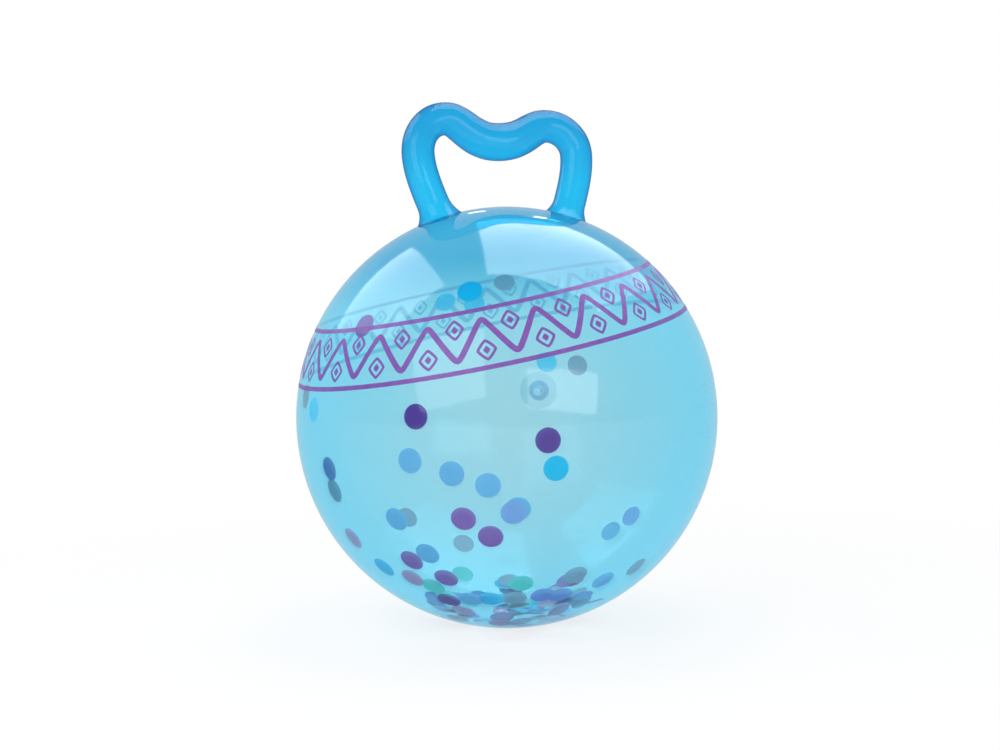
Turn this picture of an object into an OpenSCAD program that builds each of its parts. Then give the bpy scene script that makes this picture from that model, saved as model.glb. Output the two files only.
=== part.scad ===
// Hopper ball: a see-through inflated ball with a soft carrying loop on top,
// a push-in air valve behind, and loose round confetti inside.
// Millimetres, +Z up. The origin is under the middle of the flat patch that the ball rests on.

/* [Ball] */
// Outside diameter of the inflated ball
ball_d = 400; // [320:5:500]
// Thickness of the ball's skin
skin_t = 1.2; // [0.8:0.1:2]
// Radius of the flat patch where the skin meets the floor
patch_r = 30; // [20:1:50]

/* [Handle] */
// Distance between the middles of the two feet
foot_gap = 128; // [110:1:150]
// Distance between the two sides' middles at the widest place
side_gap = 160; // [140:1:190]
// Distance between the middles of the two raised corners
corner_gap = 102; // [80:1:120]
// Height of the widest place above the ball's top
side_rise = 51; // [40:1:60]
// Height of the raised corners' middles above the ball's top
corner_rise = 79; // [74:1:100]
// How much higher the left corner stands than the right one
corner_skew = 6; // [0:0.5:8]
// Height of the middle of the dip above the ball's top
dip_rise = 63; // [52:1:72]
// Tube diameter along the legs
leg_d = 31; // [24:0.2:34]
// Tube diameter at the dip
dip_d = 36; // [24:0.2:38]
// Wall of the hollow tube
tube_t = 3; // [2:0.1:5]
// How far the feet spread out past the legs
foot_flare = 6; // [3:0.5:9]
// Height over which the feet spread
foot_flare_h = 14; // [10:1:20]
// Backward lean of the soft loop in degrees
lean = 10; // [0:1:20]

/* [Valve] */
// Direction of the valve round the ball in degrees, from +X towards +Y
valve_azimuth = 60; // [0:5:180]
// Height of the valve above the ball's middle in degrees
valve_elevation = 3; // [0:0.5:5]
// Diameter of the hole that the plug seals
valve_bore_d = 8; // [6:0.1:9]
// Wall of the valve's neck round that hole
valve_wall = 2; // [1.5:0.1:3]
// Diameter of the round patch that lies on the skin's outside
valve_patch_d = 40; // [34:0.5:46]
// Thickness of that patch
valve_patch_t = 1.2; // [0.8:0.1:2]
// Diameter of the collar on the skin's inside
valve_collar_d = 20; // [16:0.5:22]
// Thickness of that collar
valve_collar_t = 1.2; // [0.8:0.1:2]
// How far the neck reaches into the ball past the collar
valve_neck_l = 9; // [5:0.5:14]
// Diameter of the plug's head
plug_head_d = 22; // [18:0.5:26]
// Thickness of the plug's head
plug_head_t = 2; // [1.5:0.1:3]
// Length of the plug's shank below its head
plug_shank_l = 15; // [10:0.5:20]
// Length of the plug's pull tab across the head
plug_tab_l = 13; // [7:0.5:15]
// Thickness of the pull tab
plug_tab_t = 2.4; // [1.5:0.1:4]
// Height of the pull tab above the head
plug_tab_h = 3; // [2:0.1:5]

/* [Confetti] */
// Diameter of a confetti disc
disc_d = 22; // [20:0.5:26]
// Thickness of the confetti film
film_t = 0.12; // [0.1:0.01:0.2]
// Pitch of the layers in which discs pass each other along the wall
layer_pitch = 0.3; // [0.3:0.05:0.6]
// Number of discs in the heap at the bottom
heap_count = 63; // [21:7:84]
// Angle from straight down that the heap's middles reach
heap_spread = 25; // [15:1:27]
// Largest tilt of a disc in the heap in degrees
heap_tilt = 16; // [0:1:18]

/* [Fits] */
// Gap between the skin and what lies on it
seat_gap = 0.3; // [0.2:0.05:0.5]
// Gap between discs that lie on each other in the heap
pile_gap = 0.4; // [0.3:0.05:0.6]
// Gap round the valve's neck in the skin
neck_gap = 0.1; // [0.05:0.05:0.3]
// Radial gap between the plug and its hole
plug_gap = 0.05; // [0.02:0.01:0.1]

/* [Hidden] */
$fn = 96;
ball_r = ball_d / 2;
ball_z = sqrt(ball_r * ball_r - patch_r * patch_r);
inner_r = ball_r - skin_t;

// Handle: sides round the tube, and steps along each of the three curves of one half
tube_sides = 24;
leg_steps = 12;
bend_steps = 8;
foot_x = foot_gap / 2;
foot_h = sqrt(ball_r * ball_r - foot_x * foot_x);
side_h = ball_r + side_rise;
corner_h = ball_r + corner_rise;
dip_h = ball_r + dip_rise;
port_r = leg_d / 2 - tube_t;

// Share of a curve's reach at which its end tangents aim, as for a near circular quarter
round_share = 0.55;
// Share of the way from foot to side where the leg's own tangent aims
leg_share = 1 / 3;

// Valve: heights along its axis, measured from the ball's middle
neck_r = valve_bore_d / 2 + valve_wall;
hole_r = neck_r + neck_gap;
collar_r = valve_collar_d / 2;
outer_seat = ball_r + neck_gap;
outer_top = outer_seat + valve_patch_t;
inner_seat = sqrt(inner_r * inner_r - collar_r * collar_r) - neck_gap;
inner_end = inner_seat - valve_collar_t;
neck_top = outer_seat + valve_patch_t / 2;
shank_r = valve_bore_d / 2 - plug_gap;
plug_nose = shank_r / 2;
head_edge = plug_head_t / 4;

// Confetti: film colours, and each wall disc's colour, azimuth and elevation in degrees
FILM = [
    ["violet", [0.27, 0.2, 0.55]],
    ["purple", [0.52, 0.33, 0.66]],
    ["cyan", [0.05, 0.68, 0.88]],
    ["blue", [0.3, 0.58, 0.86]],
    ["green", [0.3, 0.74, 0.62]],
    ["pink", [0.78, 0.42, 0.72]],
    ["mauve", [0.66, 0.58, 0.64]],
];
VIOLET = 0;
PURPLE = 1;
CYAN = 2;
BLUE = 3;
GREEN = 4;
PINK = 5;
MAUVE = 6;
WALL = [
    [PURPLE, -155, 28],
    [CYAN, -121, 38],
    [MAUVE, 70, 40],
    [VIOLET, -133, 5],
    [VIOLET, -100, -1],
    [CYAN, -98, -8],
    [BLUE, -135, -6],
    [BLUE, -124, -9],
    [BLUE, -115, -12],
    [BLUE, -108.7, -19.2],
    [BLUE, -107.5, -18.3],
    [PURPLE, -122, -21],
    [PURPLE, -115, -26],
    [MAUVE, 90, -46],
    [BLUE, -142, -22],
    [MAUVE, 110, -35],
    [BLUE, -135, -32],
    [VIOLET, -165, -10],
    [MAUVE, -165, -16],
    [PINK, -165, -30],
    [CYAN, -157, -39],
    [PURPLE, -142, -35],
    [PINK, -146, -42],
    [PURPLE, -132, -41],
    [GREEN, -139, -45],
    [GREEN, -106, -43],
    [MAUVE, -87, -41],
    [BLUE, -73, -45],
    [MAUVE, -58, -42],
    [BLUE, 25, -41],
    [CYAN, 19, -35],
    [CYAN, 57, 12],
    [MAUVE, 47, 11],
    [CYAN, -172, 5],
    [MAUVE, 180, 8],
    [BLUE, 92, 33],
    [BLUE, 81, 32],
    [VIOLET, -136, -51],
    [BLUE, -126, -50],
    [CYAN, -118, -50],
    [MAUVE, -108, -50],
    [VIOLET, -97, -49],
    [VIOLET, -89, -50],
    [PINK, -133, -57],
    [GREEN, 97, -58],
];
disc_r = disc_d / 2;
disc_angle = 2 * asin(disc_d / (2 * inner_r)) + 0.3;

// Nearest free layer under the wall for each disc, so that discs at one height pass each other
function taken(i, layer, done) =
    len([for (j = [0:1:i - 1]) if (done[j] == layer && abs(WALL[i][2] - WALL[j][2]) < disc_angle) j]) > 0;
function free_layer(i, done, layer = 0) = taken(i, layer, done) ? free_layer(i, done, layer + 1) : layer;
function wall_layers(i = 0, done = []) =
    i == len(WALL) ? done : wall_layers(i + 1, concat(done, [free_layer(i, done)]));
wall_layer = wall_layers();

// Heap: scattered directions from the ball's middle, and a tilt about a scattered line for each disc
heap_turn = rands(0, 360, heap_count, 11);
heap_reach = [for (u = rands(0, 1, heap_count, 23)) heap_spread * pow(u, 0.6)];
heap_line = rands(0, 360, heap_count, 5);
heap_lift = rands(-heap_tilt, heap_tilt, heap_count, 17);
rim_steps = 24;
last_disc = heap_count - 1;
heap_out = [for (i = [0:last_disc])
    [sin(heap_reach[i]) * cos(heap_turn[i]), sin(heap_reach[i]) * sin(heap_turn[i]), -cos(heap_reach[i])]];
heap_down = [for (i = [0:last_disc])
    [-cos(heap_reach[i]) * cos(heap_turn[i]), -cos(heap_reach[i]) * sin(heap_turn[i]), -sin(heap_reach[i])]];
heap_round = [for (i = [0:last_disc]) [-sin(heap_turn[i]), cos(heap_turn[i]), 0]];
heap_fold = [for (i = [0:last_disc]) cos(heap_line[i]) * heap_down[i] + sin(heap_line[i]) * heap_round[i]];
heap_flat = [for (i = [0:last_disc]) cos(heap_line[i]) * heap_round[i] - sin(heap_line[i]) * heap_down[i]];
heap_face = [for (i = [0:last_disc]) cos(heap_lift[i]) * heap_out[i] - sin(heap_lift[i]) * heap_flat[i]];
heap_slant = [for (i = [0:last_disc]) cos(heap_lift[i]) * heap_flat[i] + sin(heap_lift[i]) * heap_out[i]];
heap_rim = [for (i = [0:last_disc]) [for (k = [1:rim_steps])
    disc_r * (cos(360 * k / rim_steps) * heap_fold[i] + sin(360 * k / rim_steps) * heap_slant[i])]];

// Farthest distances out from the middle at which disc i clears the wall, the patch and a disc j below it
function wall_stops(i) = [for (e = heap_rim[i])
    let (b = heap_out[i] * e, r = inner_r - seat_gap) sqrt(b * b - e * e + r * r) - b];
function patch_stops(i) = [for (e = heap_rim[i]) (ball_z - skin_t - seat_gap + e[2]) / -heap_out[i][2]];
function beside(v, axis) = norm(v - (v * axis) * axis);
rim_reach = disc_r + 2 * pile_gap;
function rim_stops(i, j, far) = [for (e = heap_rim[i])
    if (beside(far * (heap_out[i] - heap_out[j]) + e, heap_face[j]) < rim_reach)
        (far * heap_out[j] * heap_face[j] - film_t - pile_gap - e * heap_face[j]) / (heap_out[i] * heap_face[j])];
function face_stops(i, j, far) = [for (e = heap_rim[j])
    if (beside(far * (heap_out[j] - heap_out[i]) + e, heap_face[i]) < rim_reach)
        ((far * heap_out[j] + e - film_t * heap_face[j]) * heap_face[i] - pile_gap) / (heap_out[i] * heap_face[i])];
function disc_stops(i, done) = [for (j = [0:1:i - 1])
    if (heap_out[i] * heap_out[j] > cos(disc_angle)) each concat(rim_stops(i, j, done[j]), face_stops(i, j, done[j]))];
function pile(i = 0, done = []) =
    i > last_disc ? done : pile(i + 1, concat(done, [min(concat(wall_stops(i), patch_stops(i), disc_stops(i, done)))]));
heap_far = pile();

function film_number(i) = 1 + len([for (j = [0:1:i - 1]) if (WALL[j][0] == WALL[i][0]) j]);
function wall_name(i) = str("confetti_", FILM[WALL[i][0]][0], "_", film_number(i));
function heap_name(c) = str("heap_", FILM[c][0]);

// Handle's middle line: three curves from a foot to the dip, as [x, height] in the loop's own plane
function curve(p, t) = p[0] * pow(1 - t, 3) + 3 * p[1] * t * pow(1 - t, 2) + 3 * p[2] * t * t * (1 - t)
    + p[3] * pow(t, 3);
function slope(p, t) = 3 * ((p[1] - p[0]) * pow(1 - t, 2) + 2 * (p[2] - p[1]) * t * (1 - t)
    + (p[3] - p[2]) * t * t);
foot = [foot_x, foot_h];
side = [side_gap / 2, side_h];
corner = [corner_gap / 2, corner_h];
dip = [0, dip_h];
radial = foot / ball_r;
leg_aim = foot + radial * leg_share * (side_h - foot_h);
leg_curve = [foot, leg_aim, side - [0, leg_share * (side_h - foot_h)], side];
function bend_curve(c) = [side, side + [0, round_share * (c[1] - side_h)],
    c + [round_share * (side[0] - c[0]), 0], c];
function dip_curve(c) = [c, c - [leg_share * c[0], 0], dip + [round_share * c[0], 0], dip];
function part_of(p, steps) = [for (s = [0:steps - 1]) [curve(p, s / steps), slope(p, s / steps)]];
function half_line(c) = concat(part_of(leg_curve, leg_steps), part_of(bend_curve(c), bend_steps),
    part_of(dip_curve(c), bend_steps), [[dip, [-1, 0]]]);
half_rings = leg_steps + 2 * bend_steps;
left_line = half_line(corner + [0, corner_skew]);
function mirrored(v) = [-v[0], v[1]];
middle_line = concat(half_line(corner),
    [for (s = [half_rings - 1:-1:0]) [mirrored(left_line[s][0]), -mirrored(left_line[s][1])]]);
rings = len(middle_line);

// Place in space of a point of the loop's plane, and the plane's own sideways direction
function lifted(p) = [p[0], (p[1] - foot_h) * sin(lean), ball_z + foot_h + (p[1] - foot_h) * cos(lean)];
function turned(v) = [v[0], v[1] * sin(lean), v[1] * cos(lean)];
across = [0, cos(lean), -sin(lean)];
function unit(v) = v / norm(v);

// Tube radius at ring s: even along the legs, thicker towards the dip, spread out at the feet
function rise_of(s) = middle_line[s][0][1] - foot_h;
function to_dip(s) = max(0, min(1, 1 - abs(middle_line[s][0][0]) / corner[0]));
function tube_r(s) = leg_d / 2 + (dip_d - leg_d) / 2 * sin(90 * to_dip(s)) * min(1, rise_of(s) / side_rise);
function fade(s) = max(0, 1 - rise_of(s) / foot_flare_h);
function outer_r(s) = tube_r(s) + foot_flare * pow(fade(s), 2);
function ring_point(s, k, r) =
    let (t = unit(turned(middle_line[s][1])), n = cross(across, t), a = 360 * k / tube_sides)
    lifted(middle_line[s][0]) + r * (cos(a) * n + sin(a) * across);

// Push along the leg that lays a foot's rim on the ball, fading out up the foot
function to_ball(p, t) =
    let (q = p - [0, 0, ball_z], b = q * t, r = ball_r + seat_gap)
    -b + sign(b) * sqrt(b * b - q * q + r * r);
function tube_point(s, k, r) =
    let (end = s < half_rings ? 0 : rings - 1, t = unit(turned(middle_line[end][1])))
    ring_point(s, k, r) + (fade(s) > 0 ? fade(s) * to_ball(ring_point(end, k, r), t) * t : [0, 0, 0]);
function inner_tube_r(s) = tube_r(s) - tube_t;

module handle() {
    outer = [for (s = [0:rings - 1], k = [0:tube_sides - 1]) tube_point(s, k, outer_r(s))];
    inner = [for (s = [0:rings - 1], k = [0:tube_sides - 1]) tube_point(s, k, inner_tube_r(s))];
    size = rings * tube_sides;
    last = size - tube_sides;
    function at(s, k) = s * tube_sides + k % tube_sides;
    walls = [for (s = [0:rings - 2], k = [0:tube_sides - 1])
        each [[at(s, k), at(s, k + 1), at(s + 1, k)], [at(s + 1, k), at(s, k + 1), at(s + 1, k + 1)]]];
    rims = [for (k = [0:tube_sides - 1])
        each [[k, size + k, at(0, k + 1)], [at(0, k + 1), size + k, size + at(0, k + 1)],
            [last + k, last + at(0, k + 1), last + size + k],
            [last + at(0, k + 1), last + size + at(0, k + 1), last + size + k]]];
    bores = [for (f = walls) [f[0] + size, f[2] + size, f[1] + size]];
    color([0.1, 0.62, 0.86]) polyhedron(concat(outer, inner), concat(walls, rims, bores));
}

// Turns local +Z to point out of the ball's middle in a direction
module towards(azimuth, elevation) {
    translate([0, 0, ball_z]) rotate([0, 90 - elevation, azimuth]) children();
}

// Ball of radius r with its underside cut flat at height floor_z
module flat_ball(r, floor_z) {
    intersection() {
        translate([0, 0, ball_z]) sphere(r);
        translate([-ball_d, -ball_d, floor_z]) cube(2 * ball_d);
    }
}

module ball_skin() {
    color([0.5, 0.83, 0.92, 0.35]) difference() {
        flat_ball(ball_r, 0);
        flat_ball(inner_r, skin_t);
        for (turn = [0, 180])
            towards(turn, acos(foot_x / ball_r)) translate([0, 0, ball_r / 2]) cylinder(r = port_r, h = ball_r);
        towards(valve_azimuth, valve_elevation) translate([0, 0, ball_r / 2]) cylinder(r = hole_r, h = ball_r);
    }
}

// Part of a round shell between two radii that lies within diameter d of the local Z axis
module round_cap(r_in, r_out, d) {
    intersection() {
        difference() {
            sphere(r_out);
            sphere(r_in);
        }
        translate([0, 0, r_out / 2]) cylinder(d = d, h = r_out);
    }
}

module valve_seat() {
    color([0.55, 0.82, 0.92]) towards(valve_azimuth, valve_elevation) difference() {
        union() {
            round_cap(outer_seat, outer_top, valve_patch_d);
            rotate_extrude() polygon([
                [0, inner_end - valve_neck_l],
                [neck_r, inner_end - valve_neck_l],
                [neck_r, inner_end],
                [collar_r, inner_end],
                [collar_r, inner_seat],
                [neck_r, inner_seat],
                [neck_r, neck_top],
                [0, neck_top],
            ]);
        }
        translate([0, 0, ball_r / 2]) cylinder(d = valve_bore_d, h = ball_r);
    }
}

module valve_plug() {
    head_r = plug_head_d / 2;
    head_top = outer_top + plug_head_t;
    color("white") towards(valve_azimuth, valve_elevation) {
        rotate_extrude() polygon([
            [0, outer_top - plug_shank_l],
            [shank_r - plug_nose, outer_top - plug_shank_l],
            [shank_r, outer_top - plug_shank_l + plug_nose],
            [shank_r, outer_top],
            [head_r, outer_top],
            [head_r, head_top - head_edge],
            [head_r - head_edge, head_top],
            [0, head_top],
        ]);
        translate([-plug_tab_t / 2, -plug_tab_l / 2, head_top - head_edge])
            cube([plug_tab_t, plug_tab_l, plug_tab_h + head_edge]);
    }
}

module wall_disc(i) {
    face_r = inner_r - seat_gap - wall_layer[i] * layer_pitch;
    color(FILM[WALL[i][0]][1]) towards(WALL[i][1], WALL[i][2]) round_cap(face_r - film_t, face_r, disc_d);
}

module heap_discs(c) {
    color(FILM[c][1]) for (i = [c:len(FILM):last_disc])
        towards(heap_turn[i], heap_reach[i] - 90) translate([0, 0, heap_far[i]])
            rotate(a = heap_lift[i], v = [cos(heap_line[i]), sin(heap_line[i]), 0])
                translate([0, 0, -film_t]) cylinder(d = disc_d, h = film_t);
}

ball_skin();
handle();
valve_seat();
valve_plug();
for (i = [0:len(WALL) - 1])
    wall_disc(i);
for (c = [0:len(FILM) - 1])
    heap_discs(c);
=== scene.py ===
"""Looks of a see-through hopper ball with confetti inside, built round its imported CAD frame."""

import logging
import math
from dataclasses import dataclass, field
from enum import Enum

import bmesh
import bpy
import numpy as np
from mathutils import Matrix, Vector


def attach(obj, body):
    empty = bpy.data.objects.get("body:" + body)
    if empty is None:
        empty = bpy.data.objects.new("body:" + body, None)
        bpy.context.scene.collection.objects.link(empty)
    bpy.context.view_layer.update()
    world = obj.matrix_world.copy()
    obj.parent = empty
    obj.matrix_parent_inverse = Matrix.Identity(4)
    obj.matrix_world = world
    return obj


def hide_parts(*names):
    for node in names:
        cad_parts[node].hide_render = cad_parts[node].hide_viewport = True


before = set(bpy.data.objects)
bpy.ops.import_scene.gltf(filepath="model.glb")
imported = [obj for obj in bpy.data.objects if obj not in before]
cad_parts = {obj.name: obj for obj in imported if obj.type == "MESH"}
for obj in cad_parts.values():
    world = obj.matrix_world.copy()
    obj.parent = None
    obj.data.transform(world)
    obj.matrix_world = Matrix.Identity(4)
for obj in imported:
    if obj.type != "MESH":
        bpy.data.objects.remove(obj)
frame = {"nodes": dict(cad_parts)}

Array = np.ndarray
Colour = tuple[float, float, float, float]
Material = bpy.types.Material
Object = bpy.types.Object
Socket = bpy.types.NodeSocket
Tree = bpy.types.NodeTree

MM = 0.001
QUARTER_TURN = 90.0
PHOTO_WIDTH = 1000
WHITE: Colour = (1.0, 1.0, 1.0, 1.0)
# Numbers between which nearly all of a noise texture lies
NOISE_SPAN = (0.3, 0.7)
# Setting at which Layer Weight's Facing is left as it is
EVEN_BLEND = 0.5
# Power with which a clear wall mirrors more towards its limb
MIRROR_POWER = 5.0
MERGE_DISTANCE = 0.001 * MM
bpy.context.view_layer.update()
log = logging.getLogger("hopper_ball")


def linear(code: str) -> Colour:
    """Turn an sRGB hex colour into linear light, by the curve of the sRGB standard.

    Args:
        code: six hex digits, red first.

    Returns:
        Linear red, green and blue, with an alpha of 1.
    """
    srgb = [int(code[i:i + 2], 16) / 255 for i in (0, 2, 4)]
    red, green, blue = (c / 12.92 if c <= 0.04045 else ((c + 0.055) / 1.055) ** 2.4 for c in srgb)
    return red, green, blue, 1.0


def add_node(tree: Tree, kind: str, settings: dict | None = None, values: dict | None = None,
             links: dict | None = None) -> bpy.types.Node:
    """Add one shader node with its settings and links.

    Args:
        tree: tree that takes the node.
        kind: Blender's type name of the node, without its ShaderNode prefix.
        settings: the node's own options by name.
        values: plain values of its inputs, by socket name or number.
        links: output sockets that feed its inputs, by socket name or number.

    Returns:
        The new node.
    """
    node = tree.nodes.new("ShaderNode" + kind)
    for name, value in (settings or {}).items():
        setattr(node, name, value)
    for key, value in (values or {}).items():
        node.inputs[key].default_value = value
    for key, source in (links or {}).items():
        tree.links.new(source, node.inputs[key])
    return node


def new_material(name: str) -> tuple[Material, Tree]:
    """Start an empty node material.

    Args:
        name: the material's name.

    Returns:
        The material and its node tree.
    """
    material = bpy.data.materials.new(name)
    material.use_nodes = True
    material.node_tree.nodes.clear()
    return material, material.node_tree


def show(tree: Tree, shader: Socket) -> None:
    """Send a shader to the material's surface."""
    add_node(tree, "OutputMaterial", links={"Surface": shader})


def mottle(tree: Tree, size_mm: float, low: float, high: float, detail: float = 3.0) -> Socket:
    """A soft noise over the piece's own place in space, stretched between two numbers.

    Args:
        tree: tree that takes the nodes.
        size_mm: width of a cloud of the noise.
        low: number at the noise's dark end.
        high: number at its light end.
        detail: how many finer octaves are added.

    Returns:
        Socket with the number.
    """
    place = add_node(tree, "TexCoord").outputs["Object"]
    cloud = {"Scale": 1 / (size_mm * MM), "Detail": detail}
    noise = add_node(tree, "TexNoise", values=cloud, links={"Vector": place})
    span = {1: NOISE_SPAN[0], 2: NOISE_SPAN[1], 3: low, 4: high}
    return add_node(tree, "MapRange", values=span, links={0: noise.outputs[0]}).outputs[0]


def unevenness(tree: Tree, size_mm: float, height_mm: float) -> Socket:
    """A bumped normal from soft waves of a given width and height.

    Args:
        tree: tree that takes the nodes.
        size_mm: width of a wave.
        height_mm: height of a wave.

    Returns:
        Socket with the normal.
    """
    wave = mottle(tree, size_mm, 0.0, 1.0, detail=1.0)
    settings = {"Strength": 1.0, "Distance": height_mm * MM}
    return add_node(tree, "Bump", values=settings, links={"Height": wave}).outputs[0]


def glance(tree: Tree, power: float) -> Socket:
    """How far a surface is seen at a glance, from 0 head on to 1 at its limb, raised to a power.

    Args:
        tree: tree that takes the nodes.
        power: how late the number rises.

    Returns:
        Socket with the number, the same from both sides of a wall.
    """
    facing = add_node(tree, "LayerWeight", values={"Blend": EVEN_BLEND}).outputs["Facing"]
    return add_node(tree, "Math", {"operation": "POWER"}, {1: power}, {0: facing}).outputs[0]


def mirrored_share(tree: Tree, head_on: float, glance_on: float) -> Socket:
    """How much a clear wall mirrors: a small share head on, which rises at a glance.

    Args:
        tree: tree that takes the nodes.
        head_on: share mirrored head on.
        glance_on: share mirrored at a glance.

    Returns:
        Socket with the share.
    """
    span = {1: glance_on - head_on, 2: head_on}
    rise = glance(tree, MIRROR_POWER)
    return add_node(tree, "Math", {"operation": "MULTIPLY_ADD"}, span, {0: rise}).outputs[0]


def blend(tree: Tree, first: str, second: str, share: Socket) -> Socket:
    """Mix two colours by a share.

    Args:
        tree: tree that takes the node.
        first: sRGB hex of the colour at a share of 0.
        second: sRGB hex of the colour at a share of 1.
        share: socket with the share.

    Returns:
        Socket with the colour.
    """
    ends = {6: linear(first), 7: linear(second)}
    return add_node(tree, "Mix", {"data_type": "RGBA"}, ends, {0: share}).outputs[2]


def layered(tree: Tree, share: Socket | float, first: Socket, second: Socket) -> Socket:
    """Mix two shaders by a share.

    Args:
        tree: tree that takes the node.
        share: the second shader's share, as a number or a socket.
        first: shader at a share of 0.
        second: shader at a share of 1.

    Returns:
        Socket with the shader.
    """
    values, links = ({0: share}, {}) if isinstance(share, float) else ({}, {0: share})
    return add_node(tree, "MixShader", values=values, links=links | {1: first, 2: second}).outputs[0]


@dataclass(frozen=True)
class ClearVinyl:
    """Soft PVC, blown thin or dip-moulded: glossy and clear, a little hazy, and deeper at its limb."""

    name: str
    face: str
    limb: str
    haze: float
    limb_power: float = 2.0
    head_on: float = 0.03
    glance_on: float = 0.6
    roughness: float = 0.08
    wave_mm: float = 40.0
    wave_height_mm: float = 0.06
    cloud_mm: float = 55.0
    cloud_drift: float = 0.08
    inner_head_on: float = 0.2
    inner_glance_on: float = 0.25
    inner_roughness: float = 2.0

    def tint(self, tree: Tree) -> Socket:
        """Colour of the light through the wall, which deepens to its limb, where a ray crosses more of it."""
        return blend(tree, self.face, self.limb, glance(tree, self.limb_power))

    def material(self) -> Material:
        """Clear and scattering tint mixed, under a glossy face with faint waves.

        Returns:
            The material of the wall's outer face.
        """
        material, tree = new_material(self.name)
        tint = self.tint(tree)
        clear = add_node(tree, "BsdfTransparent", links={"Color": tint}).outputs[0]
        cloudy = add_node(tree, "BsdfTranslucent", links={"Color": tint}).outputs[0]
        drift = self.haze * self.cloud_drift
        haze = mottle(tree, self.cloud_mm, self.haze - drift, self.haze + drift)
        waves = unevenness(tree, self.wave_mm, self.wave_height_mm)
        gloss = add_node(tree, "BsdfGlossy", values={"Roughness": self.roughness}, links={"Normal": waves})
        share = mirrored_share(tree, self.head_on, self.glance_on)
        show(tree, layered(tree, share, layered(tree, haze, clear, cloudy), gloss.outputs[0]))
        return material

    def inner_material(self) -> Material:
        """The wall's inner face: nearly clear, with a fainter and softer gloss than the outer face.

        Returns:
            The material of the inner face.
        """
        material, tree = new_material(self.name + " inner face")
        clear = add_node(tree, "BsdfTransparent", values={"Color": WHITE}).outputs[0]
        soft = self.roughness * self.inner_roughness
        gloss = add_node(tree, "BsdfGlossy", values={"Roughness": soft}).outputs[0]
        share = mirrored_share(tree, self.head_on * self.inner_head_on, self.glance_on * self.inner_glance_on)
        show(tree, layered(tree, share, clear, gloss))
        return material


@dataclass(frozen=True)
class HeightDeepenedVinyl(ClearVinyl):
    """Clear vinyl whose tint deepens with height. On the ball this is painted shade: it darkens the top so
    the gap between the mirrored cards reads dark. On the handle it deepens the bar a little.
    """

    # Colour multiplied in as the height rises, in full from the second height up: painted shade on the ball's
    # top
    deeper: str = "FBEFF5"
    thin_height: float = 420 * MM
    thick_height: float = 475 * MM

    def tint(self, tree: Tree) -> Socket:
        """Tint of the wall, deepened with height: painted shade over the ball's top.

        Args:
            tree: tree that takes the nodes.

        Returns:
            Socket with the colour.
        """
        place = add_node(tree, "TexCoord").outputs["Object"]
        height = add_node(tree, "SeparateXYZ", links={0: place}).outputs["Z"]
        span = {1: self.thin_height, 2: self.thick_height}
        share = add_node(tree, "MapRange", values=span, links={0: height}).outputs[0]
        multiply = {"data_type": "RGBA", "blend_type": "MULTIPLY"}
        # The wall's tint before the painted shade of the top is laid over it
        thin = super().tint(tree)
        return add_node(tree, "Mix", multiply, {7: linear(self.deeper)}, {0: share, 6: thin}).outputs[2]


@dataclass(frozen=True)
class ScreenInk:
    """Flexible screen ink on vinyl: thin, a little see-through, satin, with slightly uneven cover."""

    name: str = "Purple screen ink"
    tint: str = "C468B8"
    body: str = "8052A4"
    cover: float = 0.55
    cover_drift: float = 0.08
    cover_mm: float = 6.0
    roughness: float = 0.35
    ior: float = 1.5
    # Painted haze: pale blues in place of the ink's purple on its underside, for the veil of light the hazy
    # walls lay over it
    underside: str = "BADAEC"
    underside_thin: str = "C4E0F0"

    def one_sided(self, tree: Tree, face: Socket) -> None:
        """Show a shader on the faces that are turned to the eye, and nothing on those turned away.

        Args:
            tree: tree that takes the nodes.
            face: shader of the near side.
        """
        away = add_node(tree, "NewGeometry").outputs["Backfacing"]
        nothing = add_node(tree, "BsdfTransparent", values={"Color": WHITE}).outputs[0]
        show(tree, layered(tree, away, face, nothing))

    def material(self) -> Material:
        """The printed face: tinted clear film and solid ink mixed by an uneven cover.

        Returns:
            The material of the ink's face.
        """
        material, tree = new_material(self.name)
        film = add_node(tree, "BsdfTransparent", values={"Color": linear(self.tint)}).outputs[0]
        satin = {"Base Color": linear(self.body), "Roughness": self.roughness, "IOR": self.ior}
        ink = add_node(tree, "BsdfPrincipled", values=satin).outputs[0]
        cover = mottle(tree, self.cover_mm, self.cover - self.cover_drift, self.cover + self.cover_drift)
        self.one_sided(tree, layered(tree, cover, film, ink))
        return material

    def underside_material(self) -> Material:
        """The ink's underside, seen through the skin from within: painted haze, paler and bluer than the ink
        for the light the hazy walls scatter over it, with an uneven cover too.

        Returns:
            The material of the ink's underside.
        """
        material, tree = new_material(self.name + " underside")
        shade = blend(tree, self.underside, self.underside_thin, mottle(tree, self.cover_mm, 0.0, 1.0))
        self.one_sided(tree, add_node(tree, "BsdfTransparent", links={"Color": shade}).outputs[0])
        return material


@dataclass(frozen=True)
class ConfettiFilm:
    """Punched PET film, dyed: satin sheen, faint creases, and a little light through it."""

    name: str
    body: str
    glow: str
    through: float = 0.25
    roughness: float = 0.5
    sheen: float = 0.1
    drift_mm: float = 14.0
    crease_mm: float = 9.0
    crease_height_mm: float = 0.08

    def material(self) -> Material:
        """Dyed film with a slight drift of shade, mixed with some light from behind.

        Returns:
            The film's material.
        """
        material, tree = new_material(self.name + " PET film")
        shade = blend(tree, self.body, self.glow, mottle(tree, self.drift_mm, 0.0, 1.0))
        creases = unevenness(tree, self.crease_mm, self.crease_height_mm)
        satin = {"Roughness": self.roughness, "Specular IOR Level": self.sheen}
        face = add_node(tree, "BsdfPrincipled", values=satin, links={"Base Color": shade, "Normal": creases})
        behind = add_node(tree, "BsdfTranslucent", links={"Color": shade})
        show(tree, layered(tree, self.through, face.outputs[0], behind.outputs[0]))
        return material


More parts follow.
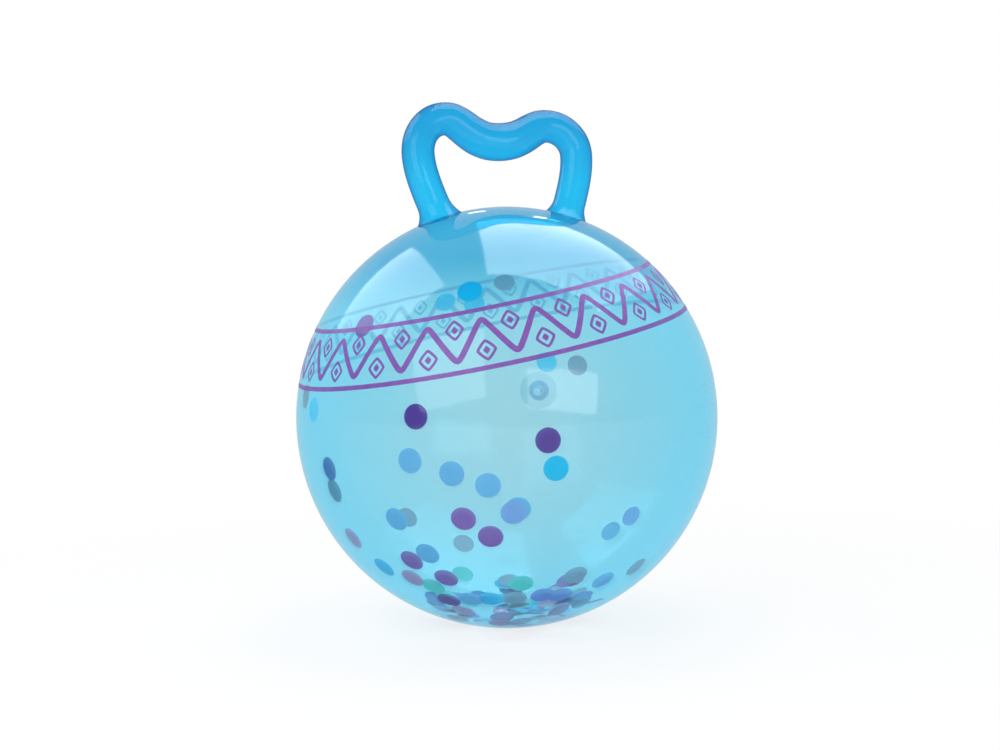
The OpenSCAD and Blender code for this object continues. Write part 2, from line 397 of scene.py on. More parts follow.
@dataclass(frozen=True)
class PearlFilm:
    """Iridescent PET film: pink head on, a lighter pink at a glance, with bright creases."""

    name: str
    body: str
    at_glance: str
    shift_power: float = 1.5
    metallic: float = 0.9
    roughness: float = 0.16
    crease_mm: float = 7.0
    crease_height_mm: float = 0.3

    def material(self) -> Material:
        """Metal-bright film whose sheen shifts with the angle, creased so that it sparkles.

        Returns:
            The film's material.
        """
        material, tree = new_material(self.name + " PET film")
        shift = blend(tree, self.body, self.at_glance, glance(tree, self.shift_power))
        creases = unevenness(tree, self.crease_mm, self.crease_height_mm)
        bright = {"Metallic": self.metallic, "Roughness": self.roughness}
        face = add_node(tree, "BsdfPrincipled", values=bright, links={"Base Color": shift, "Normal": creases})
        show(tree, face.outputs[0])
        return material


@dataclass(frozen=True)
class MouldedPlastic:
    """Injection-moulded polyethylene: waxy, satin, with a fine spark-eroded grain."""

    name: str
    body: str
    roughness: float = 0.38
    roughness_drift: float = 0.07
    drift_mm: float = 5.0
    ior: float = 1.51
    through: float = 0.4
    grain_mm: float = 0.8
    grain_height_mm: float = 0.012

    def material(self) -> Material:
        """Waxy plastic with uneven gloss, a grain coarse enough to show, and some light through it.

        Returns:
            The plastic's material.
        """
        material, tree = new_material(self.name)
        low, high = self.roughness - self.roughness_drift, self.roughness + self.roughness_drift
        gloss = mottle(tree, self.drift_mm, low, high)
        grain = unevenness(tree, self.grain_mm, self.grain_height_mm)
        wax = {"Base Color": linear(self.body), "IOR": self.ior}
        face = add_node(tree, "BsdfPrincipled", values=wax, links={"Roughness": gloss, "Normal": grain})
        behind = add_node(tree, "BsdfTranslucent", values={"Color": linear(self.body)})
        show(tree, layered(tree, self.through, face.outputs[0], behind.outputs[0]))
        return material


class Film(Enum):
    """The confetti's films: the seven colours in its nodes' names, and six other shades. Of these, the pale
    and violet-blue ones are painted haze and the deep one is painted shade.
    """

    VIOLET = ConfettiFilm("Violet", "8E42A0", "964AA6")
    PURPLE = ConfettiFilm("Purple", "D270BC", "D878C2")
    CYAN = ConfettiFilm("Turquoise", "02D2F0", "08D8F4")
    BLUE = ConfettiFilm("Sky blue", "A6CAEA", "AED0EC")
    GREEN = ConfettiFilm("Green", "8CE6D6", "94ECDC")
    PINK = PearlFilm("Pink iridescent", "FF98BC", "FF9CC4")
    MAUVE = ConfettiFilm("Mauve", "CCB9C4", "D4C1CC")
    THIN = ConfettiFilm("Thin mauve", "E2D0D8", "E8D6DE", through=0.5)
    LILAC = ConfettiFilm("Lilac", "C4C0EC", "CCC8F0")
    # Painted haze: a paler, more see-through turquoise for discs far behind the hazy wall
    PALE = ConfettiFilm("Haze-paled turquoise", "9CF0FC", "A4F4FE", through=0.5)
    # Painted shade: a deep blue for a disc at the ball's limb and for the bottom of the heap
    DEEP = ConfettiFilm("Deep blue", "4480BE", "4C88C6")
    TEAL = ConfettiFilm("Teal", "7AA6B8", "82AEC0")
    # Painted haze: a paler violet blue for violet discs seen through more vinyl
    BLUISH = ConfettiFilm("Violet blue", "A89CDC", "B0A4E2")


@dataclass
class Shape:
    """Grids of points gathered into one mesh, with a material number for each grid's faces."""

    name: str
    points: list[Array] = field(default_factory=list)
    faces: list[Array] = field(default_factory=list)
    slots: list[Array] = field(default_factory=list)
    sharp_degrees: float = 40.0

    def add_grid(self, grid: Array, close_rows: bool, close_columns: bool,
                 slot: Array | int = 0) -> None:
        """Join neighbours in a grid of points with four-sided faces.

        Args:
            grid: points, as rows by columns by three, or as many such grids.
            close_rows: whether the last row joins the first.
            close_columns: whether the last column joins the first.
            slot: material number of all faces, or numbers that spread over grids, rows and columns.
        """
        grid = grid[None] if grid.ndim == 3 else grid
        count, rows, columns, _ = grid.shape
        number = np.arange(count * rows * columns).reshape(count, rows, columns)
        number = np.concatenate([number, number[:, :1]], 1) if close_rows else number
        number = np.concatenate([number, number[:, :, :1]], 2) if close_columns else number
        corners = [number[:, :-1, :-1], number[:, :-1, 1:], number[:, 1:, 1:], number[:, 1:, :-1]]
        quads = np.stack(corners, -1)
        face_slot = np.broadcast_to(slot, quads.shape[:3])
        start = sum(len(p) for p in self.points)
        self.points.append(grid.reshape(-1, 3))
        self.faces.append(quads.reshape(-1, 4) + start)
        self.slots.append(face_slot.reshape(-1))

    def build(self, materials: list[Material]) -> Object:
        """Make the object: doubles merged, so that poles and seams close, and smooth but at sharp edges.

        Args:
            materials: the piece's materials by number.

        Returns:
            The object, at the origin.
        """
        mesh = bpy.data.meshes.new(self.name)
        faces = np.concatenate(self.faces)
        mesh.from_pydata(np.concatenate(self.points), [], faces.tolist())
        for material in materials:
            mesh.materials.append(material)
        mesh.polygons.foreach_set("material_index", np.concatenate(self.slots).astype(np.int32))
        mesh.polygons.foreach_set("use_smooth", np.ones(len(faces), bool))
        merged = bmesh.new()
        merged.from_mesh(mesh)
        bmesh.ops.remove_doubles(merged, verts=merged.verts, dist=MERGE_DISTANCE)
        merged.to_mesh(mesh)
        merged.free()
        mesh.set_sharp_from_angle(angle=math.radians(self.sharp_degrees))
        mesh.update()
        piece = bpy.data.objects.new(self.name, mesh)
        bpy.context.scene.collection.objects.link(piece)
        log.info("%s: %d faces", self.name, len(mesh.polygons))
        return piece


def soft_outline(points: int, power: float) -> tuple[Array, Array]:
    """Cosine and sine with their sizes raised to a power: a lozenge above 1, a soft-cornered box below.

    Args:
        points: points of the outline.
        power: the power.

    Returns:
        The outline's x and y, each from -1 to 1.
    """
    turn = np.linspace(0, 2 * np.pi, points, endpoint=False)
    x, y = np.cos(turn), np.sin(turn)
    return np.sign(x) * np.abs(x) ** power, np.sign(y) * np.abs(y) ** power


def direction(azimuth: float, elevation: float) -> Array:
    """Unit vector at an azimuth from +X towards +Y and an elevation, in degrees."""
    a, e = math.radians(azimuth), math.radians(elevation)
    return np.array([math.cos(e) * math.cos(a), math.cos(e) * math.sin(a), math.sin(e)])


def side_axes(axis: Array) -> tuple[Array, Array]:
    """Two unit vectors that make a right-handed frame with an axis.

    Args:
        axis: unit vector, not upright.

    Returns:
        The first side vector, and the second, which is level.
    """
    level = np.cross([0.0, 0.0, 1.0], axis)
    level /= np.linalg.norm(level)
    return np.cross(level, axis), level


def turned(profile: Array, middle: Array, axis: Array, columns: int) -> Array:
    """Points of a profile turned round an axis: middle + height along the axis + radius round it.

    Args:
        profile: rows of radius and height.
        middle: point of the axis at height zero.
        axis: the axis as a unit vector.
        columns: steps round the axis.

    Returns:
        Points as rows by columns by three.
    """
    first, second = side_axes(axis)
    turn = np.linspace(0, 2 * np.pi, columns, endpoint=False)
    spoke = np.cos(turn)[:, None] * first + np.sin(turn)[:, None] * second
    return middle + profile[:, 1, None, None] * axis + profile[:, 0, None, None] * spoke


@dataclass
class Ball:
    """The blown skin, its flat patch on the floor and the valve in its back."""

    radius: float = 200 * MM
    wall: float = 1.2 * MM
    patch_radius: float = 30 * MM
    valve_azimuth: float = 60.0
    valve_elevation: float = 3.0
    hole_radius: float = 6.1 * MM
    rows: int = 150
    columns: int = 240
    # The skin's tint deepens over the ball's top: painted shade that darkens the gap between the mirrored
    # cards
    finish: HeightDeepenedVinyl = HeightDeepenedVinyl("Clear cyan vinyl", "CEEEF5", "9EEAFD", 0.23, limb_power=0.7,
                                      deeper="BAE4F0", thin_height=295 * MM, thick_height=350 * MM)

    @property
    def middle(self) -> Array:
        """The ball's middle, at the height at which its patch lies on the floor."""
        return np.array([0.0, 0.0, math.sqrt(self.radius ** 2 - self.patch_radius ** 2)])

    def wall_points(self, radius: float, floor: float, angles: Array) -> Array:
        """A sphere turned round the valve's axis, pressed flat on a floor.

        Args:
            radius: the sphere's radius.
            floor: least height of a point.
            angles: angles from the valve's axis, in order.

        Returns:
            Points as rows by columns by three.
        """
        profile = radius * np.stack([np.sin(angles), np.cos(angles)], 1)
        axis = direction(self.valve_azimuth, self.valve_elevation)
        points = turned(profile, self.middle, axis, self.columns)
        points[..., 2] = np.maximum(points[..., 2], floor)
        return points

    def build(self) -> Object:
        """The skin: outside from the valve's hole to the far pole, and inside back to the hole.

        Returns:
            The skin, riding on the ball.
        """
        inner = self.radius - self.wall
        out_angles = np.linspace(math.asin(self.hole_radius / self.radius), np.pi, self.rows)
        in_angles = np.linspace(np.pi, math.asin(self.hole_radius / inner), self.rows)
        grid = np.concatenate([self.wall_points(self.radius, 0.0, out_angles),
                               self.wall_points(inner, self.wall, in_angles)])
        shape = Shape("ball_skin_blown")
        shape.add_grid(grid[:, ::-1], True, True, np.repeat([0, 1], self.rows)[:, None])
        skin = shape.build([self.finish.material(), self.finish.inner_material()])
        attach(skin, "ball")
        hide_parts("ball_skin")
        return skin


@dataclass
class Handle:
    """The hollow soft loop: two legs, two round corners and a bar that dips between them."""

    ball: Ball
    foot_x: float = 64 * MM
    side: tuple[float, float] = (80 * MM, 251 * MM)
    corner: tuple[float, float] = (51 * MM, 279 * MM)
    dip_height: float = 263 * MM
    corner_skew: float = 6 * MM
    leg_radius: float = 15.5 * MM
    dip_radius: float = 18 * MM
    wall: float = 3 * MM
    flare: float = 6 * MM
    flare_height: float = 14 * MM
    lean_degrees: float = 10.0
    round_share: float = 0.55
    leg_share: float = 1 / 3
    steps: int = 40
    sides: int = 64
    finish: HeightDeepenedVinyl = HeightDeepenedVinyl("Blue dip-moulded vinyl", "6CE0FC", "2A7CBC", 0.06, limb_power=2.2,
                                      head_on=0.014, glance_on=0.15, roughness=0.12, wave_mm=18.0)

    @property
    def foot_height(self) -> float:
        """Height of a foot above the ball's middle, where its line meets the ball."""
        return math.sqrt(self.ball.radius ** 2 - self.foot_x ** 2)

    def middle_line(self) -> tuple[Array, Array]:
        """The loop's middle line: its right half, then its left half in a mirror, with its corner higher.

        Returns:
            Points as x and height above the ball's middle, and the line's unit direction at each.
        """
        right, right_way = self.half_line(0.0)
        left, left_way = self.half_line(self.corner_skew)
        points = np.concatenate([right, [[0.0, self.dip_height]], left[::-1] * [-1, 1]])
        along = np.concatenate([right_way, [[-1.0, 0.0]], left_way[::-1] * [1, -1]])
        return points, along / np.linalg.norm(along, axis=1, keepdims=True)

    def half_line(self, lift: float) -> tuple[Array, Array]:
        """Half of the middle line: three cubic curves, from a foot to the side, the corner and the dip.

        Args:
            lift: how much higher this half's corner stands.

        Returns:
            Points as x and height above the ball's middle, without the dip, and the line's direction at each.
        """
        foot = np.array([self.foot_x, self.foot_height])
        side, dip = np.array(self.side), np.array([0.0, self.dip_height])
        corner = np.array(self.corner) + [0.0, lift]
        leg_rise = np.array([0.0, self.leg_share * (side[1] - foot[1])])
        aim = foot + foot / self.ball.radius * leg_rise[1]
        bend_up = np.array([0.0, self.round_share * (corner[1] - side[1])])
        bend_in = np.array([self.round_share * (side[0] - corner[0]), 0.0])
        curves = np.array([
            [foot, aim, side - leg_rise, side],
            [side, side + bend_up, corner + bend_in, corner],
            [corner, corner * [1 - self.leg_share, 1], dip + [self.round_share * corner[0], 0], dip],
        ])
        t = np.linspace(0, 1, self.steps, endpoint=False)[None, :, None]
        p, q, r, s = (curves[:, k, None] for k in range(4))
        points = p * (1 - t) ** 3 + 3 * q * t * (1 - t) ** 2 + 3 * r * t ** 2 * (1 - t) + s * t ** 3
        along = (q - p) * (1 - t) ** 2 + 2 * (r - q) * t * (1 - t) + (s - r) * t ** 2
        return points.reshape(-1, 2), along.reshape(-1, 2)

    def tube(self, radius: Array, fade: Array) -> Array:
        """A round section of changing radius carried along the middle line, with its ends laid on the ball.

        Args:
            radius: the section's radius at each point of the line.
            fade: how far each point follows the ends as they are pushed along the legs onto the ball.

        Returns:
            Points as rings by sides by three.
        """
        line, along = self.middle_line()
        lean = math.radians(self.lean_degrees)
        back, up = math.sin(lean), math.cos(lean)
        rise = line[:, 1] - self.foot_height
        base = self.ball.middle[2] + self.foot_height
        place = np.stack([line[:, 0], rise * back, base + rise * up], 1)
        way = np.stack([along[:, 0], along[:, 1] * back, along[:, 1] * up], 1)
        across = np.array([0.0, up, -back])
        out = np.cross(across, way)
        turn = np.linspace(0, 2 * np.pi, self.sides, endpoint=False)
        ring = np.cos(turn)[None, :, None] * out[:, None] + np.sin(turn)[None, :, None] * across
        points = place[:, None] + radius[:, None, None] * ring
        for end, half in ((0, slice(0, len(line) // 2)), (-1, slice(len(line) // 2, None))):
            leg = way[end] * (1 if end == 0 else -1)
            foot = place[end] + radius[end] * ring[end] - self.ball.middle
            reach = foot @ leg
            push = -reach + np.sqrt(reach ** 2 - (foot ** 2).sum(1) + self.ball.radius ** 2)
            points[half] += fade[half, None, None] * push[None, :, None] * leg
        return points

    def build(self) -> Object:
        """The loop's outside from foot to foot and its bore back again, closed at the feet's rims.

        Returns:
            The handle, riding on the ball.
        """
        line, _ = self.middle_line()
        rise = line[:, 1] - self.foot_height
        to_dip = np.clip(1 - np.abs(line[:, 0]) / self.corner[0], 0, 1)
        swell = np.sin(np.pi / 2 * to_dip) * np.clip(rise / (self.side[1] - self.ball.radius), 0, 1)
        radius = self.leg_radius + (self.dip_radius - self.leg_radius) * swell
        fade = np.clip(1 - rise / self.flare_height, 0, 1)
        outside = self.tube(radius + self.flare * fade ** 2, fade)
        bore = self.tube(radius - self.wall, fade)
        shape = Shape("handle_loop")
        face = np.repeat([0, 1], len(line))[:, None]
        shape.add_grid(np.concatenate([outside, bore[::-1]]), True, True, face)
        handle = shape.build([self.finish.material(), self.finish.inner_material()])
        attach(handle, "ball")
        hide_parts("handle")
        return handle


@dataclass
class PrintedBand:
    """The printed band: two rails, a soft zigzag between them and a lozenge in each of its bays."""

    ball: Ball
    tilt_degrees: float = 11.0
    latitude_degrees: float = 29.0
    repeats: int = 22
    half_height: float = 27 * MM
    rail_width: float = 4.2 * MM
    zigzag_height: float = 17 * MM
    zigzag_width: float = 5.2 * MM
    zigzag_softness: float = 0.96
    lozenge_rise: float = 11.5 * MM
    lozenge_half: tuple[float, float] = (7.5 * MM, 8.5 * MM)
    lozenge_line: float = 2.4 * MM
    lozenge_power: float = 1.7
    lozenge_points: int = 32
    seed_half: tuple[float, float] = (3.0 * MM, 3.6 * MM)
    seed_points: int = 16
    ink_base: float = 0.03 * MM
    ink_top: float = 0.1 * MM
    steps: int = 36
    finish: ScreenInk = ScreenInk()

    @property
    def length(self) -> float:
        """Length of the band's middle line, once round the ball."""
        return 2 * np.pi * self.ball.radius * math.cos(math.radians(self.latitude_degrees))

    @property
    def section_lift(self) -> Array:
        """Heights above the skin of the four corners of a section of ink."""
        return np.array([self.ink_base, self.ink_base, self.ink_top, self.ink_top])

    def on_ball(self, along: Array, up: Array, lift: Array) -> Array:
        """Lay band measures on the ball: along as a turn round the band's own axis, up as its latitude.

        Args:
            along: distance along the band's middle line.
            up: distance above that line.
            lift: height above the skin.

        Returns:
            Points in space.
        """
        tilt, middle = math.radians(self.tilt_degrees), math.radians(self.latitude_degrees)
        axis = np.array([-math.sin(tilt), 0.0, math.cos(tilt)])
        first, second = side_axes(axis)
        turn = along / (self.ball.radius * math.cos(middle))
        rise = middle + up / self.ball.radius
        round_it = np.cos(turn)[..., None] * first + np.sin(turn)[..., None] * second
        way = np.cos(rise)[..., None] * round_it + np.sin(rise)[..., None] * axis
        return self.ball.middle + (self.ball.radius + lift)[..., None] * way

    def stroke(self, along: Array, up: Array, width: float) -> Array:
        """An ink stroke: a flat four-sided section carried along closed lines, square to them.

        Args:
            along: distances along the band, as lines by points.
            up: distances above its middle line, likewise.
            width: the stroke's width.

        Returns:
            Points as lines by points by four by three.
        """
        half = self.length / 2
        step_along = (np.roll(along, -1, 1) - np.roll(along, 1, 1) + half) % self.length - half
        step_up = np.roll(up, -1, 1) - np.roll(up, 1, 1)
        size = np.hypot(step_along, step_up)
        side = np.array([-0.5, 0.5, 0.5, -0.5]) * width
        wide_along = along[..., None] - side * (step_up / size)[..., None]
        wide_up = up[..., None] + side * (step_along / size)[..., None]
        return self.on_ball(wide_along, wide_up, np.broadcast_to(self.section_lift, wide_up.shape))

    def lozenges(self, half: tuple[float, float], points: int) -> tuple[Array, Array]:
        """Outlines of the lozenges, one in each bay of the zigzag, with slightly rounded corners.

        Args:
            half: half width and half height of a lozenge.
            points: points of an outline.

        Returns:
            Distances along the band and above its middle line, as lozenges by points.
        """
        bay = np.arange(2 * self.repeats)
        x, y = soft_outline(points, self.lozenge_power)
        middle = (bay + 0.5) * self.length / len(bay)
        above = np.where(bay % 2 == 0, -self.lozenge_rise, self.lozenge_rise)
        return middle[:, None] + half[0] * x, above[:, None] + half[1] * y

    def build(self) -> Object:
        """All strokes of the band as one film of ink.

        Returns:
            The band, riding on the ball.
        """
        along = np.linspace(0, self.length, self.repeats * self.steps, endpoint=False)[None]
        wave = np.sin(2 * np.pi * self.repeats * along / self.length)
        zigzag = self.zigzag_height * np.arcsin(self.zigzag_softness * wave) / math.asin(self.zigzag_softness)
        shape = Shape("printed_band")
        rail = np.full_like(along, self.half_height)
        strokes = [
            (along, -rail, self.rail_width),
            (along, rail, self.rail_width),
            (along, zigzag, self.zigzag_width),
            (*self.lozenges(self.lozenge_half, self.lozenge_points), self.lozenge_line),
        ]
        for stroke in strokes:
            shape.add_grid(self.stroke(*stroke), True, True, np.array([[[1, 0, 0, 0]]]))
        seed_along, seed_up = self.lozenges(self.seed_half, self.seed_points)
        share = np.array([0.0, 1.0, 1.0, 0.0])[None, :, None]
        lift = self.section_lift[None, :, None]
        centre_along, centre_up = (v.mean(1)[:, None, None] for v in (seed_along, seed_up))
        fan_along = centre_along + share * (seed_along[:, None] - centre_along)
        fan_up = centre_up + share * (seed_up[:, None] - centre_up)
        fan = self.on_ball(fan_along, fan_up, np.broadcast_to(lift, fan_up.shape))
        shape.add_grid(fan, False, True, np.array([[[1], [0], [0]]]))
        band = shape.build([self.finish.material(), self.finish.underside_material()])
        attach(band, "ball")
        return band


@dataclass
class Confetti:
    """The loose discs, which keep their CAD shape and are dressed by colour."""

    nodes: dict[str, Object]
    # Discs given another film than their name's: PALE and BLUISH are painted haze, DEEP is painted shade
    shades: dict[Film, tuple[str, ...]] = field(default_factory=lambda: {
        Film.LILAC: ("blue_4", "cyan_4"),
        Film.PALE: ("cyan_5", "cyan_6", "blue_10", "blue_11"),
        Film.THIN: ("mauve_1", "mauve_2", "mauve_7"),
        Film.TEAL: ("mauve_4",),
        Film.DEEP: ("violet_3", "heap_blue"),
        Film.BLUISH: ("violet_5", "violet_6", "heap_violet"),
    })

    def dress(self) -> None:
        """Give each disc and each part of the heap the film of the list of shades, or else of its name."""
        films = {film: film.value.material() for film in Film}
        shade_of = {name: film for film, names in self.shades.items() for name in names}
        for name, disc in self.nodes.items():
            if name.startswith(("confetti_", "heap_")):
                film = shade_of.get(name.removeprefix("confetti_")) or Film[name.split("_")[1].upper()]
                disc.data.materials.clear()
                disc.data.materials.append(films[film])
        log.info("confetti: %d films", len(films))


@dataclass
class Valve:
    """The air valve: a soft seat in the skin and a push-in plug with a pull tab."""

    ball: Ball
    bore: float = 4 * MM
    neck: float = 6 * MM
    neck_length: float = 9 * MM
    patch_radius: float = 20 * MM
    patch_top: float = 1.3 * MM
    patch_bevel: float = 0.5 * MM
    patch_gap: float = 0.02 * MM
    bead_radius: float = 16.5 * MM
    bead_width: float = 1.6 * MM
    bead_height: float = 0.5 * MM
    collar_radius: float = 10 * MM
    collar_wall: float = 1.2 * MM
    collar_gap: float = 0.1 * MM
    collar_round: float = 0.3 * MM
    head_radius: float = 11 * MM
    head_wall: float = 2 * MM
    head_round: float = 0.7 * MM
    shank_radius: float = 3.95 * MM
    shank_length: float = 15 * MM
    tab_half: tuple[float, float] = (1.2 * MM, 6.5 * MM)
    tab_height: float = 3 * MM
    tab_power: float = 0.45
    tab_widths: tuple[float, ...] = (0.0, 1.0, 1.0, 0.92, 0.72, 0.0)
    tab_heights: tuple[float, ...] = (-0.1, -0.1, 0.75, 0.93, 1.0, 1.0)
    tab_points: int = 48
    top_rows: int = 40
    under_rows: int = 20
    rim_rows: int = 7
    columns: int = 72
    seat_finish: ClearVinyl = ClearVinyl("Thick clear vinyl", "F2FBFD", "D6F3FB", 0.1, limb_power=4.0,
                                         head_on=0.02, glance_on=0.1, wave_mm=12.0)
    plug_finish: MouldedPlastic = MouldedPlastic("Natural moulded polyethylene", "DCEFF6")

    @property
    def axis(self) -> Array:
        """The valve's own line, out of the ball."""
        return direction(self.ball.valve_azimuth, self.ball.valve_elevation)

    def build_seat(self) -> Object:
        """The seat: a cap that follows the ball, with a round bead, and a collared neck inside.

        Returns:
            The seat, riding on the ball.
        """
        ball_r, inner_r = self.ball.radius, self.ball.radius - self.ball.wall
        out = np.linspace(self.bore, self.patch_radius - self.patch_bevel, self.top_rows)
        bead = self.bead_height * np.exp(-((out - self.bead_radius) / (self.bead_width / 2)) ** 2)
        top = np.stack([out, np.sqrt((ball_r + self.patch_top) ** 2 - out ** 2) + bead], 1)
        back = np.linspace(self.patch_radius, self.neck, self.under_rows)
        under = np.stack([back, np.sqrt((ball_r + self.patch_gap) ** 2 - back ** 2)], 1)
        collar_top = math.sqrt(inner_r ** 2 - self.collar_radius ** 2) - self.collar_gap
        collar_end = collar_top - self.collar_wall
        tip = collar_end - self.neck_length
        wide, narrow = self.collar_radius, self.collar_radius - self.collar_round
        inside = np.array([
            [self.neck, collar_top], [narrow, collar_top],
            [wide, collar_top - self.collar_round], [wide, collar_end + self.collar_round],
            [narrow, collar_end], [self.neck, collar_end],
            [self.neck, tip], [self.bore, tip],
        ])
        shape = Shape("valve_seat_soft")
        profile = np.concatenate([top, under, inside])
        shape.add_grid(turned(profile, self.ball.middle, self.axis, self.columns)[:, ::-1], True, True)
        seat = shape.build([self.seat_finish.material()])
        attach(seat, "ball")
        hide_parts("valve_seat")
        return seat

    def build_plug(self) -> Object:
        """The plug: a shank with a tapered nose under a round-edged head, and a soft-cornered tab on top.

        Returns:
            The plug, riding on its own body.
        """
        seat = self.ball.radius + self.patch_top
        tip, top = seat - self.shank_length, seat + self.head_wall
        nose = self.shank_radius / 2
        edge = np.linspace(0, np.pi / 2, self.rim_rows)
        rim = np.stack([self.head_radius - self.head_round * (1 - np.cos(edge)),
                        top - self.head_round * (1 - np.sin(edge))], 1)
        profile = np.concatenate([
            [[0, tip], [self.shank_radius - nose, tip], [self.shank_radius, tip + nose]],
            [[self.shank_radius, seat], [self.head_radius, seat]],
            rim,
            [[0, top]],
        ])
        shape = Shape("valve_plug_moulded")
        shape.add_grid(turned(profile, self.ball.middle, self.axis, self.columns), False, True)
        x, y = soft_outline(self.tab_points, self.tab_power)
        first, level = side_axes(self.axis)
        outline = self.tab_half[0] * x[:, None] * first + self.tab_half[1] * y[:, None] * level
        width, height = np.array([self.tab_widths, self.tab_heights])[:, :, None, None]
        tab = self.ball.middle + (top + self.tab_height * height) * self.axis + width * outline
        shape.add_grid(tab, False, True)
        plug = shape.build([self.plug_finish.material()])
        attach(plug, "plug")
        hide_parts("valve_plug")
        return plug


class Softbox(Enum):
    """The studio's lamps: degrees right of the camera and up, distance, width, height and radiance."""

    OVERHEAD = (152.0, 72.0, 1.27, 0.8, 1.31, 2.2)
    OVERHEAD_LEFT = (-113.0, 53.0, 1.5, 0.55, 1.3, 2.0)
    BACK_RIGHT = (168.0, 41.0, 1.3, 0.12, 0.05, 12.0)
    BACK_LEFT = (-175.0, 30.6, 1.3, 0.06, 0.04, 12.0)
    FRONT_LEFT = (-32.0, 28.0, 1.8, 1.15, 1.15, 3.0)
    FRONT_RIGHT = (29.0, 16.5, 1.8, 1.15, 0.64, 4.4)

    @property
    def mirrored(self) -> bool:
        """Whether gloss mirrors the lamp itself, and not a card in its place."""
        return self not in (Softbox.OVERHEAD, Softbox.OVERHEAD_LEFT)


class Card(Enum):
    """White cards that only gloss mirrors: placed as a lamp is, with the radiance at the left and right."""

    RIGHT_CARD = (128.0, 65.0, 1.3, 1.3, 1.31, 7.6, 4.0)
    LEFT_CARD = (-107.3, 45.4, 1.53, 0.9, 1.3, 3.0, 5.6)


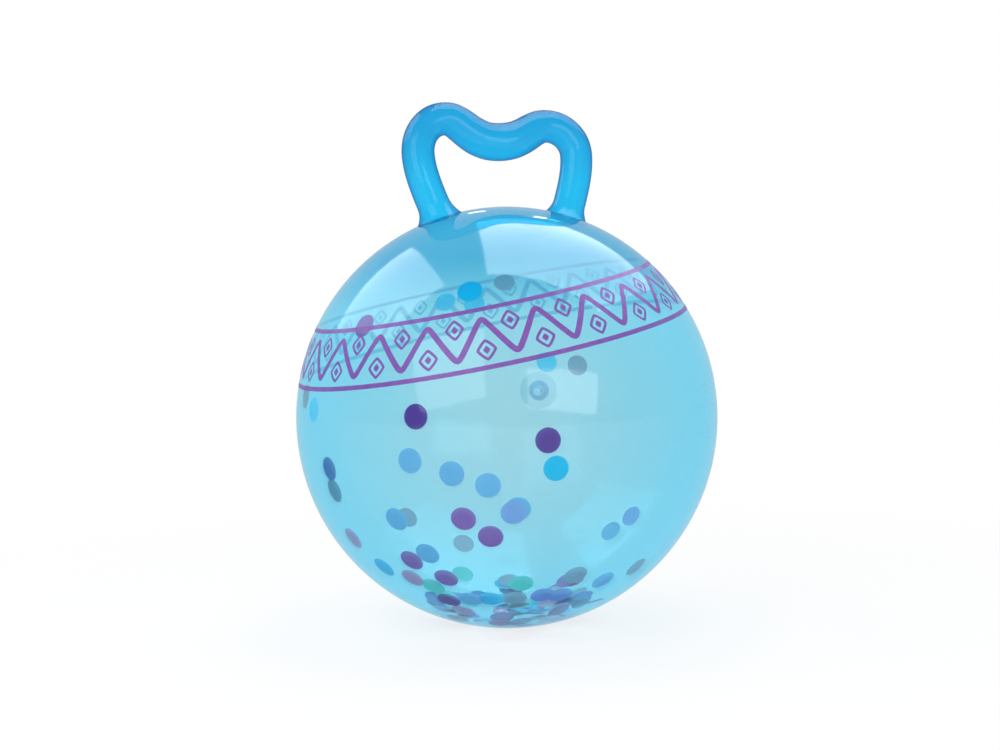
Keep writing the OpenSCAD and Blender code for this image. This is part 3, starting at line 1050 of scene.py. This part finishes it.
@dataclass
class Studio:
    """The white sweep, its soft lamps and the camera at the photograph's angle."""

    ball: Ball
    distance: float = 1.6
    azimuth: float = -20.0
    elevation: float = 5.0
    roll: float = 1.0
    lens_mm: float = 60.2
    sensor_mm: float = 36.0
    clip_start: float = 0.05
    shift_px: tuple[float, float] = (6.05, 41.8)
    card_even: float = 0.4
    room_light: float = 0.45
    room_front: float = 0.15
    room_turn: float = 0.3
    floor_half: float = 30.0
    floor_drop: float = 0.4 * MM
    floor_paper: str = "F4F5F6"
    floor_white: tuple[float, float] = (0.78, 1.0)
    floor_reach: tuple[float, float] = (0.25, 0.9)
    clear_bounces: int = 32

    def toward(self, azimuth: float, elevation: float) -> Vector:
        """Direction from the ball at an azimuth counted from the front, to the right, and an elevation."""
        a, e = math.radians(azimuth), math.radians(elevation)
        return Vector((math.sin(a) * math.cos(e), -math.cos(a) * math.cos(e), math.sin(e)))

    def build_camera(self) -> None:
        """Camera on the line of sight of the photograph, aimed and rolled as its frame was."""
        middle = Vector(self.ball.middle)
        eye = middle + self.distance * self.toward(self.azimuth, self.elevation)
        right, up, _ = (middle - eye).to_track_quat("-Z", "Y").to_matrix().col
        pixels = self.lens_mm / self.sensor_mm * PHOTO_WIDTH
        aim = middle + (up * self.shift_px[1] - right * self.shift_px[0]) * (self.distance / pixels)
        axes = (aim - eye).to_track_quat("-Z", "Y").to_matrix()
        axes.rotate(Matrix.Rotation(math.radians(self.roll), 3, aim - eye))
        data = bpy.data.cameras.new("camera")
        data.lens, data.sensor_width, data.clip_start = self.lens_mm, self.sensor_mm, self.clip_start
        camera = bpy.data.objects.new("camera", data)
        camera.matrix_world = Matrix.Translation(eye) @ axes.to_4x4()
        bpy.context.scene.collection.objects.link(camera)
        bpy.context.scene.camera = camera

    def hang(self, name: str, azimuth: float, elevation: float, distance: float, width: float, height: float,
             radiance: float) -> Object:
        """Hang a softbox that faces the ball, with its power worked out from its radiance and area.

        Args:
            name: the lamp's name.
            azimuth: degrees right of the camera, seen from the ball.
            elevation: degrees up.
            distance: metres from the ball's middle.
            width: metres across.
            height: metres the other way.
            radiance: how bright its face is, where white surroundings are 1.

        Returns:
            The lamp, which the camera doesn't see.
        """
        data = bpy.data.lights.new(name, "AREA")
        data.shape, data.size, data.size_y = "RECTANGLE", width, height
        data.energy = radiance * math.pi * width * height
        box = bpy.data.objects.new(name, data)
        toward = self.toward(self.azimuth + azimuth, elevation)
        right = self.toward(self.azimuth + QUARTER_TURN, 0)
        side = (right - right.dot(toward) * toward).normalized()
        axes = Matrix((side, toward.cross(side), toward)).transposed()
        box.matrix_world = Matrix.Translation(Vector(self.ball.middle) + distance * toward) @ axes.to_4x4()
        box.visible_camera = False
        bpy.context.scene.collection.objects.link(box)
        return box

    def build_lamps(self) -> None:
        """The softboxes, and the cards with their radiance fading from one edge to the other."""
        for lamp in Softbox:
            self.hang(lamp.name.lower(), *lamp.value).visible_glossy = lamp.mirrored
        for card in Card:
            *place, left, right = card.value
            box = self.hang(card.name.lower(), *place, 1.0)
            box.visible_diffuse = box.visible_transmission = False
            box.data.use_nodes = True
            tree = box.data.node_tree
            tree.nodes.clear()
            spot = add_node(tree, "NewGeometry").outputs["Parametric"]
            across = add_node(tree, "SeparateXYZ", links={0: spot}).outputs["X"]
            start, end = (0.0, 1 - self.card_even) if left < right else (self.card_even, 1.0)
            radiance = add_node(tree, "MapRange", {"interpolation_type": "SMOOTHSTEP"},
                                {1: start, 2: end, 3: left, 4: right}, {0: across})
            glow = add_node(tree, "Emission", links={"Strength": radiance.outputs[0]})
            add_node(tree, "OutputLight", links={"Surface": glow.outputs[0]})

    def either(self, tree: Tree, first: Socket, second: Socket) -> Socket:
        """The greater of two numbers, so one or the other kind of ray."""
        return add_node(tree, "Math", {"operation": "MAXIMUM"}, links={0: first, 1: second}).outputs[0]

    def build_world(self) -> None:
        """White surroundings behind the object, a dim room in front of it, and a soft even light on it."""
        world = bpy.data.worlds.new("white tent")
        world.use_nodes = True
        tree = world.node_tree
        tree.nodes.clear()
        way = add_node(tree, "TexCoord").outputs["Generated"]
        ahead = -self.toward(self.azimuth, self.elevation)
        depth = add_node(tree, "VectorMath", {"operation": "DOT_PRODUCT"}, {1: ahead}, {0: way})
        room = {1: -self.room_turn, 2: self.room_turn, 3: self.room_front, 4: 1.0}
        seen = add_node(tree, "MapRange", values=room, links={0: depth.outputs["Value"]}).outputs[0]
        ray = add_node(tree, "LightPath").outputs
        by_gloss = {0: ray["Is Glossy Ray"], 4: seen}
        mirrored = add_node(tree, "MapRange", values={3: self.room_light}, links=by_gloss)
        straight = self.either(tree, ray["Is Camera Ray"], ray["Is Transmission Ray"])
        strength = add_node(tree, "MapRange", values={4: 1.0}, links={0: straight, 3: mirrored.outputs[0]})
        tent = add_node(tree, "Background", values={"Color": WHITE}, links={"Strength": strength.outputs[0]})
        add_node(tree, "OutputWorld", links={"Surface": tent.outputs[0]})
        bpy.context.scene.world = world

    def build_floor(self) -> None:
        """White paper floor that keeps a faint shadow where it is seen."""
        half = self.floor_half
        x, y = np.meshgrid([-half, half], [-half, half])
        shape = Shape("floor")
        shape.add_grid(np.stack([x, y, np.full_like(x, -self.floor_drop)], -1), False, False)
        material, tree = new_material("White paper")
        paper = add_node(tree, "BsdfDiffuse", values={"Color": linear(self.floor_paper)}).outputs[0]
        white = add_node(tree, "Emission", values={"Color": WHITE, "Strength": 1.0}).outputs[0]
        place = add_node(tree, "TexCoord").outputs["Object"]
        away = add_node(tree, "VectorMath", {"operation": "LENGTH"}, links={0: place}).outputs["Value"]
        fade = dict(enumerate((*self.floor_reach, *self.floor_white), 1))
        white_share = add_node(tree, "MapRange", values=fade, links={0: away}).outputs[0]
        ray = add_node(tree, "LightPath").outputs
        sharp = self.either(tree, ray["Is Glossy Ray"], ray["Is Transmission Ray"])
        seen = self.either(tree, ray["Is Camera Ray"], sharp)
        share = add_node(tree, "Math", {"operation": "MULTIPLY"}, links={0: seen, 1: white_share}).outputs[0]
        show(tree, layered(tree, share, paper, white))
        shape.build([material])

    def build(self) -> None:
        """Set up the camera, the lamps, the world and the floor."""
        self.build_camera()
        self.build_lamps()
        self.build_world()
        self.build_floor()
        scene = bpy.context.scene
        scene.view_settings.view_transform = "Standard"
        scene.cycles.transparent_max_bounces = self.clear_bounces
        log.info("studio: %d softboxes, %d cards", len(Softbox), len(Card))


def main() -> None:
    """Build the studio and the pieces in order."""
    logging.basicConfig(level=logging.INFO, format="%(name)s %(message)s")
    ball = Ball()
    Studio(ball).build()
    ball.build()
    Handle(ball).build()
    PrintedBand(ball).build()
    valve = Valve(ball)
    valve.build_seat()
    valve.build_plug()
    Confetti(frame["nodes"]).dress()


if __name__ == "__main__":
    main()
